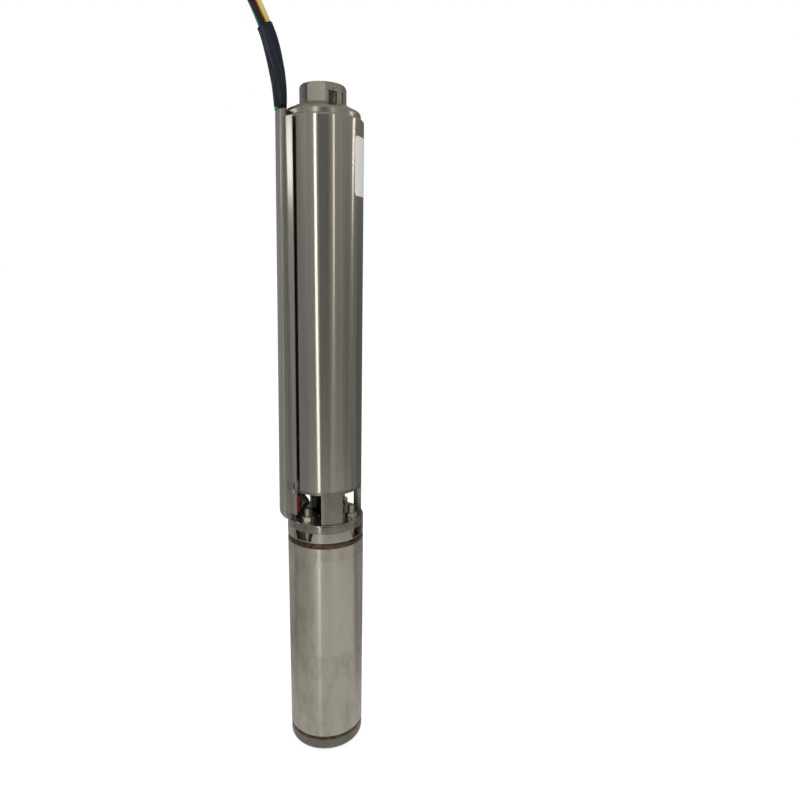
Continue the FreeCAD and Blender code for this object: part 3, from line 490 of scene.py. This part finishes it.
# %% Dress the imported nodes
stages = range(1, 8)
dress = [
    (casing_steel, ["pump_casing"]),
    (guard_steel, ["cable_guard"]),
    (head_steel, ["discharge_head"]),
    (cap_steel, ["motor_base_cap"]),
    (blasted_steel, ["suction_interconnector"]),
    (cast_body_steel, ["suction_plate", "motor_lower_bell", "motor_upper_bell", "valve_seat",
                       "valve_guide", "top_bearing_spider", "thrust_plate"]),
    (motor_steel, ["motor_shell"]),
    (weld_steel, ["shell_welds"]),
    (thread_steel, ["motor_studs"]),
    (fastener_steel, ["stud_nuts", "stud_washers", "guard_screws", "shaft_nut",
                      "connector_nut"]),
    (coupling_steel, ["shaft_coupling"]),
    (shaft_steel, ["pump_shaft", "shaft_sleeves", "motor_shaft", "thrust_disc",
                   "stator_can"]),
    (spring_steel, ["valve_spring"]),
    (diffuser_plastic, [f"diffuser_{k}" for k in stages] + ["valve_poppet"]),
    (impeller_plastic, [f"impeller_{k}" for k in stages]),
    (rubber, ["valve_seal", "top_bush", "diaphragm", "shaft_seal", "sand_slinger",
              "lead_connector"]),
    (carbon, ["upper_motor_bearing", "lower_motor_bearing", "thrust_pads"]),
    (lamination_steel, ["stator_core", "rotor_core"]),
    (winding_copper, ["stator_windings"]),
    (shrunk_sleeve, ["lead_sleeve", "free_leads"]),
]
dress += [(finish, ["lead_" + colour]) for colour, finish in jackets.items()]
dressed = set()
for finish, names in dress:
    for name in names:
        mesh = nodes[name].data
        mesh.materials.clear()
        mesh.materials.append(finish)
        dressed.add(name)
print("dressed", len(dressed), "left out", sorted(set(nodes) - dressed))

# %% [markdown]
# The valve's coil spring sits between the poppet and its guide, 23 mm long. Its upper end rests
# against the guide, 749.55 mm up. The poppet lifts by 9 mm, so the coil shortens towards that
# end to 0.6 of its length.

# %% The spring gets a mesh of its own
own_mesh(nodes["valve_spring"])

# %% [markdown]
# The four leads leave the top of the guard together. Where the photograph shows them they rise,
# lean left and leave the view. The length that it does not show turns back above the view and
# hangs behind the pump, down to the floor. The route is a list of points, the same as the
# solid's, and a NURBS curve of order 3 draws one smooth line from them.

# %% The bundle's route
GUARD_TOP = 782.6
LEADS_TOP = GUARD_TOP + 0.3
BUNDLE_START = Vector((-47.0, -2.8, LEADS_TOP)) * MM
free_points = [
    (-48.0, 10.4, 820), (-52.6, 10.0, 842), (-57.0, 9.2, 858), (-69.5, 7.0, 886),
    (-84.0, -3.0, 912), (-94.0, -24.0, 942), (-97.0, -58.0, 960), (-92.0, -92.0, 950),
    (-81.0, -105.0, 925), (-68.0, -107.0, 899), (-59.5, -106.0, 869), (-53.5, -104.0, 836),
    (-49.5, -101.0, 800), (-42.0, -95.0, 745), (-31.0, -86.0, 660), (-19.0, -76.0, 550),
    (-11.0, -69.0, 425), (-7.0, -65.0, 300), (-6.0, -66.0, 185), (-4.0, -70.0, 95),
    (-2.0, -82.0, 35), (3.0, -112.0, 6.4), (12.0, -156.0, 5.6), (8.0, -205.0, 5.6),
]
route = [BUNDLE_START, BUNDLE_START + Vector((0, 0, 16 * MM))]
route += [seen_from_front(right, near, height) * MM for right, near, height in free_points]


def smooth_line(points, steps=8):
    """The points of the smooth NURBS line that these control points make."""
    curve = bpy.data.curves.new("route", "CURVE")
    curve.dimensions = "3D"
    curve.resolution_u = steps
    spline = curve.splines.new("NURBS")
    spline.points.add(len(points) - 1)
    for point, place in zip(spline.points, points):
        point.co = (*place, 1.0)
    spline.order_u = 3
    spline.use_endpoint_u = True
    holder = bpy.data.objects.new("route", curve)
    bpy.context.scene.collection.objects.link(holder)
    bpy.context.view_layer.update()
    mesh = bpy.data.meshes.new_from_object(holder)
    line = [vertex.co.copy() for vertex in mesh.vertices]
    bpy.data.objects.remove(holder)
    return line


line = smooth_line(route)
line_length = sum((b - a).length for a, b in zip(line, line[1:]))
print("bundle length", round(line_length, 4), "points", len(line))

# %% [markdown]
# Four strands side by side read as four colours, so the bundle is one mesh of four tubes that
# follow the line. A frame is carried along the line without twisting, and the strands' places
# are then turned slowly in it, because a loose bundle has a little lay: one turn in 0.62 m. Each
# strand ends with its copper bared for the splice. Distances along the line are in metres, and
# the strands' places across it in millimetres.

# %% Strands along the line
STRAND_RADIUS = 2.65 * MM
STRAND_SIDES = 14
COPPER_SHARE = 0.55
BARE_LENGTH = 9 * MM
TURN_LENGTH = 0.62
strand_places = {"black": (-2.4, 1.6), "yellow": (4.3, 0.6), "red": (1.3, -2.9),
                 "green": (-3.4, -3.1)}
LAY_START = 0.09
spreads = [(0.0, 0.8), (0.08, 1.1), (0.2, 1.1), (0.4, 0.88)]


def carried_frames(points, first_side):
    """For each point its two cross directions, carried along without twisting."""
    side = first_side.copy()
    frames = []
    for k in range(len(points)):
        ahead = points[min(k + 1, len(points) - 1)] - points[max(k - 1, 0)]
        ahead.normalize()
        side = (side - ahead * side.dot(ahead)).normalized()
        frames.append((side.copy(), side.cross(ahead).normalized()))
    return frames


def travelled(points):
    """How far along the line each point is."""
    distances = [0.0]
    for a, b in zip(points, points[1:]):
        distances.append(distances[-1] + (b - a).length)
    return distances


def new_mesh(name, build, smooth=True):
    """A mesh object made by build(bm), riding on the fixed body."""
    bm = bmesh.new()
    build(bm)
    bmesh.ops.recalc_face_normals(bm, faces=bm.faces)
    mesh = bpy.data.meshes.new(name)
    bm.to_mesh(mesh)
    bm.free()
    if smooth:
        mesh.shade_smooth()
    piece = bpy.data.objects.new(name, mesh)
    bpy.context.scene.collection.objects.link(piece)
    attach(piece, "root")
    return piece


def skin_rings(bm, rings, material=0):
    """Faces between rings of points, with caps on the first and last."""
    made = [[bm.verts.new(point) for point in ring] for ring in rings]
    count = len(made[0])
    for near, far in zip(made, made[1:]):
        for k in range(count):
            face = bm.faces.new((near[k], near[(k + 1) % count],
                                 far[(k + 1) % count], far[k]))
            face.material_index = material
    for ring in (made[0], made[-1]):
        bm.faces.new(ring).material_index = material


near_side = seen_from_front(0, 1, 0)
frames = carried_frames(line, near_side)
distances = travelled(line)
right_sign = 1 if frames[0][1].dot(seen_from_front(1, 0, 0)) > 0 else -1


def spread_at(distance):
    """How far apart the strands lie: close in the sleeve's foot, widest where they leave it."""
    for (start, first), (end, last) in zip(spreads, spreads[1:]):
        if distance < end:
            return first + (last - first) * (distance - start) / (end - start)
    return spreads[-1][1]


def lay_at(k):
    """How far the bundle has turned at the line's point k."""
    return 2 * math.pi * (distances[k] - LAY_START) / TURN_LENGTH


def strand_centre(k, place):
    """A strand's centre at the line's point k."""
    near, right = frames[k]
    wide = spread_at(distances[k]) * MM
    turn = lay_at(k)
    across = place[0] * math.cos(turn) - place[1] * math.sin(turn)
    towards = place[0] * math.sin(turn) + place[1] * math.cos(turn)
    return line[k] + (right * right_sign * across + near * towards) * wide


def tube_rings(centres, radius):
    """Rings of points round a line of centres."""
    carried = carried_frames(centres, near_side)
    angles = [2 * math.pi * j / STRAND_SIDES for j in range(STRAND_SIDES)]
    return [[centre + (u * math.cos(a) + v * math.sin(a)) * radius for a in angles]
            for centre, (u, v) in zip(centres, carried)]


def build_strands(bm):
    """The four strands with their bare ends."""
    last = max(k for k in range(len(line)) if distances[-1] - distances[k] >= BARE_LENGTH)
    for index, place in enumerate(strand_places.values()):
        centres = [strand_centre(k, place) for k in range(len(line))]
        skin_rings(bm, tube_rings(centres[:last + 1], STRAND_RADIUS), index)
        bare = [centres[last], centres[-1]]
        skin_rings(bm, tube_rings(bare, STRAND_RADIUS * COPPER_SHARE), len(strand_places))


leads = new_mesh("free_lead_strands", build_strands)
for colour in strand_places:
    leads.data.materials.append(jackets[colour])
leads.data.materials.append(bare_copper)
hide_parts("free_leads")

# %% [markdown]
# The shrunk sleeve grips the four leads where they leave the guard, so it takes their outline:
# a rounded square with a groove between each pair, and fine pleats along it. It is drawn as a
# ring with that outline, swept up the same line, turned with the bundle's lay and folded in at
# both ends. Uneven numbers keep the pleats from repeating. Radii are in millimetres.

# %% The ridged sleeve
SLEEVE_BOTTOM = (LEADS_TOP + 1.0) * MM
SLEEVE_TOP = 867 * MM
SLEEVE_RADII = (6.8, 8.4)
WIDENING = 2.5
GROOVE = 1.5
PLEAT = 0.5
PLEAT_COUNT = 17
SLEEVE_SIDES = 72
SLEEVE_WALL = 0.9
SLEEVE_TURN = math.radians(20)
MOUTH_DEPTH = 4


def sleeve_radius(angle, share):
    """The sleeve's radius in millimetres this far up, with four lobes and small pleats."""
    widened = min(1.0, WIDENING * share)
    full = SLEEVE_RADII[0] + (SLEEVE_RADII[1] - SLEEVE_RADII[0]) * widened
    lobes = GROOVE * (0.5 - 0.5 * math.cos(len(strand_places) * angle)) ** 2
    depth = PLEAT * (0.6 + 0.4 * math.sin(2.3 * angle + 9 * share))
    return full - lobes - depth * math.sin(PLEAT_COUNT * angle + 0.7)


def sleeve_ring(k, share):
    """One ring of points round the line's point k."""
    near, right = frames[k]
    ring = []
    for j in range(SLEEVE_SIDES):
        angle = 2 * math.pi * j / SLEEVE_SIDES
        turn = angle + SLEEVE_TURN + lay_at(k)
        out = right * right_sign * math.cos(turn) + near * math.sin(turn)
        ring.append(line[k] + out * sleeve_radius(angle, share) * MM)
    return ring


def build_sleeve(bm):
    """The sleeve's outside, folded in at its foot, and at its top to a mouth with some depth."""
    top = next(k for k in range(len(line)) if line[k].z > SLEEVE_TOP)
    inside = [k for k in range(top) if line[k].z > SLEEVE_BOTTOM]
    rings = [sleeve_ring(k, n / (len(inside) - 1)) for n, k in enumerate(inside)]
    wall = 1 - SLEEVE_WALL / SLEEVE_RADII[0]
    foot, mouth = [[line[k] + (point - line[k]) * wall for point in ring]
                   for k, ring in ((inside[0], rings[0]), (inside[-1], rings[-1]))]
    ahead = (line[inside[-1] + 1] - line[inside[-1] - 1]).normalized()
    deep = [point - ahead * MOUTH_DEPTH * MM for point in mouth]
    skin_rings(bm, [foot, *rings, mouth, deep])


sleeve = new_mesh("ridged_sleeve", build_sleeve)
sleeve.data.materials.append(shrunk_sleeve)
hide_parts("lead_sleeve")

# %% [markdown]
# The line's points, as a list of plain tuples.

[tuple(p) for p in line]

# %% [markdown]
# Two labels are stuck on the tubes. Both are plain sheets. The one on the pump casing is white
# paper with a satin laminate, and the large one on the motor is silver foil. Each is a thin
# bent sheet that stands a fraction of a millimetre off the tube, with rounded corners.

# %% Labels
CASING_RADIUS = 45.0
MOTOR_RADIUS = 47.65
LABEL_GAP = 0.03
LABEL_THICKNESS = 0.12
LABEL_COLUMNS = 40
LABEL_ROWS = 16


def plain_label(name, radius, bearings, levels, corner, finish):
    """A thin sheet bent round the axis. Bearings count from the camera's side to its right."""
    first_angle, last_angle = [math.radians(b) for b in bearings]
    low, high = levels

    def build(bm):
        rings = []
        for j in range(LABEL_ROWS + 1):
            height = low + (high - low) * j / LABEL_ROWS
            edge = min(height - low, high - height)
            inset = corner - math.sqrt(max(0, corner ** 2 - max(0, corner - edge) ** 2))
            start, end = first_angle + inset / radius, last_angle - inset / radius
            there = range(LABEL_COLUMNS + 1)
            ring = []
            for side, steps in ((LABEL_THICKNESS, there), (0, reversed(there))):
                reach = (radius + LABEL_GAP + side) * MM
                for k in steps:
                    angle = start + (end - start) * k / LABEL_COLUMNS
                    ring.append(seen_from_front(reach * math.sin(angle),
                                                reach * math.cos(angle), height * MM))
            rings.append(ring)
        skin_rings(bm, rings)

    piece = new_mesh(name, build, smooth=False)
    piece.data.materials.append(finish)
    return piece


def paper_label():
    """White paper under a clear satin film."""
    material, tree, place = start_material("paper label, laminated")
    fibre = noise(tree, place, size=3, detail=4.0)
    colour = two_tone(tree, fibre, ["#dfe2de", "#e8eae6"])
    rough = spread(tree, fibre, 0.38, 0.48)
    film = bump(tree, fibre, strength=0.05, depth=0.05)
    shader = add(tree, "BsdfPrincipled", {"Base Color": colour, "Roughness": rough,
                                          "IOR": 1.5, "Normal": film})
    finish_material(tree, shader)
    return material


silver_foil = hazy_steel("aluminium foil label, matt", ["#d3d0c7", "#d8d4c9"],
                         streak_share=0.58, stain=0.12)
paper = plain_label("casing_label", CASING_RADIUS, bearings=(48.6, 146), levels=(697.8, 759),
                    corner=2.0, finish=paper_label())
foil = plain_label("motor_label", MOTOR_RADIUS, bearings=(-17.8, 112), levels=(141, 271),
                   corner=3.0, finish=silver_foil)

# %% [markdown]
# The studio: a pale floor, and a room that the steel mirrors. The camera sees white behind the
# object. A mirror sees the room instead, a grey that changes with the bearing: dark where the
# camera stands, paler at either side of it. Higher up the walls show more contrast, and above
# them is the ceiling. Heights are the upward part of the direction in which the mirror looks.

# %% Room
PALE = (1.0, 1.0, 1.0, 1.0)
room_stops = [(-180, "#8f8d8a"), (-100, "#8c8a87"), (-66, "#757370"), (-50, "#7a7875"),
              (-22, "#84827f"), (-13, "#676563"), (12, "#676563"), (20, "#807e7b"),
              (42, "#7b7976"), (56, "#757370"), (66, "#666462"), (76, "#666462"),
              (86, "#73716e"), (106, "#747270"), (118, "#5e5c5a"), (180, "#666462")]
high_stops = [(-180, "#62605e"), (-95, "#62605e"), (-60, "#adaaa4"), (-24, "#adaaa4"),
              (-13, "#5b5957"), (13, "#5b5957"), (24, "#aaa7a1"), (90, "#9d9a95"),
              (110, "#8a8783"), (180, "#6a6866")]
CEILING = "#9a9792"
HIGH_WALLS_FROM = (0.0, 0.24)
CEILING_FROM = (0.35, 0.6)
AMBIENT = 0.78


def between(tree, value, limits, low=0.0, high=1.0):
    """From low to high while the value goes from the first limit to the second."""
    return add(tree, "MapRange", {"Value": value, "From Min": limits[0], "From Max": limits[1],
                                  "To Min": low, "To Max": high}).outputs[0]


def blended(tree, share, first, second):
    """Two colours mixed."""
    return add(tree, "Mix", {0: share, 6: first, 7: second}, data_type="RGBA").outputs[2]


def build_world():
    """White to the camera, a grey room to mirrors, and a pale even light to all else."""
    world = bpy.data.worlds.new("studio")
    bpy.context.scene.world = world
    world.use_nodes = True
    tree = world.node_tree
    tree.nodes.clear()
    direction = add(tree, "TexCoord").outputs["Generated"]
    walls = against_bearing(tree, direction, room_stops)
    height = add(tree, "SeparateXYZ", {0: direction}).outputs["Z"]
    high_walls = against_bearing(tree, direction, high_stops)
    upper = blended(tree, between(tree, height, HIGH_WALLS_FROM), walls, high_walls)
    room = blended(tree, between(tree, height, CEILING_FROM), upper, linear(CEILING))
    path = add(tree, "LightPath")
    seen = add(tree, "Background", {"Color": PALE, "Strength": 1.0})
    mirrored = add(tree, "Background", {"Color": room, "Strength": 1.0})
    ambient = add(tree, "Background", {"Color": PALE, "Strength": AMBIENT})
    glossy = add(tree, "MixShader", {0: path.outputs["Is Glossy Ray"],
                                     1: ambient.outputs[0], 2: mirrored.outputs[0]})
    whole = add(tree, "MixShader", {0: path.outputs["Is Camera Ray"], 1: glossy.outputs[0],
                                    2: seen.outputs[0]})
    add(tree, "OutputWorld", {"Surface": whole.outputs[0]})


build_world()

# %% [markdown]
# The floor is white to the camera. Part of that white is real light, so the object's shadow
# shows softly on it. To mirrors it is a pale table top near the object, with a dark line at each
# side where the table ends and the duller room behind it starts, and the grey room further off.
# The table top gets brighter away from the object's foot. Distances are in metres.

# %% Floor
FLOOR_RADIUS = 40.0
FLOOR_DROP = 0.2 * MM
TABLE_FOOT = "#bfbdb8"
FOOT_ENDS = (0.12, 0.3)
TABLE_ENDS = (0.6175, 0.855)
LIT_FROM = (0.4, 0.55)
LIT_STRENGTH = 1.7
WHITE_GLOW = 1.35
WHITE_SHARE = 0.6
table_stops = [(-180, "#8c8a86"), (-113, "#969490"), (-110, "#2c2b2a"), (-103, "#2c2b2a"),
               (-99, "#8a8884"), (-64, "#8f8d89"), (-40, "#b2b0ab"), (-25, "#bdbbb6"),
               (97, "#bdbbb6"), (100, "#1f1e1d"), (109, "#1f1e1d"), (113, "#8c8a87"),
               (180, "#7b7a78")]


def mirrored_floor(tree, place):
    """What a mirror sees of the floor: the table top near the object, then the room."""
    geometry = add(tree, "NewGeometry")
    direction = add(tree, "VectorMath", {0: geometry.outputs["Incoming"], 1: (-1.0, -1.0, -1.0)},
                    operation="MULTIPLY").outputs[0]
    around = against_bearing(tree, direction, table_stops)
    beyond = against_bearing(tree, direction, room_stops)
    reach = add(tree, "VectorMath", {0: place}, operation="LENGTH").outputs["Value"]
    far = between(tree, reach, TABLE_ENDS)
    table = blended(tree, between(tree, reach, FOOT_ENDS), linear(TABLE_FOOT), around)
    lit = between(tree, reach, LIT_FROM, 1.0, LIT_STRENGTH)
    strength = between(tree, far, (0.0, 1.0), lit, 1.0)
    return add(tree, "Emission", {"Color": blended(tree, far, table, beyond),
                                  "Strength": strength})


def build_floor():
    """A wide round floor, white to the camera, with a table top drawn for mirrors."""
    bm = bmesh.new()
    bmesh.ops.create_circle(bm, cap_ends=True, segments=96, radius=FLOOR_RADIUS)
    mesh = bpy.data.meshes.new("floor")
    bm.to_mesh(mesh)
    bm.free()
    floor = bpy.data.objects.new("floor", mesh)
    bpy.context.scene.collection.objects.link(floor)
    floor.location.z = -FLOOR_DROP
    material, tree, place = start_material("pale paper floor")
    mirrored = mirrored_floor(tree, place)
    paper_white = add(tree, "BsdfDiffuse", {"Color": linear("#f4f4f2")})
    white = add(tree, "Emission", {"Color": PALE, "Strength": WHITE_GLOW})
    seen = add(tree, "MixShader", {0: WHITE_SHARE, 1: paper_white.outputs[0],
                                   2: white.outputs[0]})
    path = add(tree, "LightPath")
    real = add(tree, "MixShader", {0: path.outputs["Is Glossy Ray"], 1: paper_white.outputs[0],
                                   2: mirrored.outputs[0]})
    whole = add(tree, "MixShader", {0: path.outputs["Is Camera Ray"], 1: real.outputs[0],
                                    2: seen.outputs[0]})
    finish_material(tree, whole)
    floor.data.materials.append(material)


build_floor()

# %% [markdown]
# Strip lamps and a wide window stand round the object, and draw the bright upright stripes on
# the tubes. A lamp's stripe appears where the tube faces halfway between the camera and the
# lamp, so each lamp's bearing is twice the stripe's. The stripes bend a little towards their
# feet, so two strips have a leaning lower part. Sizes are in metres, and a lamp's glow is its
# radiance, so a longer lamp isn't a dimmer one.

# %% Strip lamps
def strip_lamp(name, bearings, distance, width, levels, glow, tint):
    """A soft lamp. Its foot's and top's bearings count from the camera's side to its right."""
    turns = [math.radians(b) for b in bearings]
    foot, top = [seen_from_front(distance * math.sin(t), distance * math.cos(t), level)
                 for t, level in zip(turns, levels)]
    data = bpy.data.lights.new(name, "AREA")
    data.shape = "RECTANGLE"
    data.size = width
    data.size_y = (top - foot).length
    data.energy = glow * math.pi * data.size * data.size_y
    data.color = linear(tint)[:3]
    lamp = bpy.data.objects.new(name, data)
    along = (top - foot).normalized()
    away = (foot + top) / 2 - Vector((0, 0, sum(levels) / 2))
    across = along.cross(away).normalized()
    axes = Matrix((across, along, across.cross(along))).transposed().to_4x4()
    lamp.matrix_world = Matrix.Translation((foot + top) / 2) @ axes
    lamp.visible_camera = False
    bpy.context.scene.collection.objects.link(lamp)


# Each row is a name, bearings, distance, width, levels, glow and tint.
lamps = [
    ("main_strip", (-22.5, -22.9), 0.75, 0.08, (0.5, 1.35), 2.3, "#fff6e6"),
    ("main_strip_foot", (-17.4, -22.5), 0.75, 0.08, (0.01, 0.5), 2.3, "#fff6e6"),
    ("right_strip", (27.5, 29.6), 0.95, 0.055, (0.6, 1.5), 1.6, "#fff2dc"),
    ("right_strip_foot", (17.0, 27.0), 0.95, 0.055, (0.05, 0.6), 0.25, "#fff2dc"),
    ("side_strip", (87.0, 100.0), 0.9, 0.08, (0.82, 1.07), 3.0, "#fff2e0"),
    ("left_window", (-99.0, -99.0), 1.0, 0.45, (0.79, 0.98), 2.9, "#fffaf0"),
]
for lamp in lamps:
    strip_lamp(*lamp)
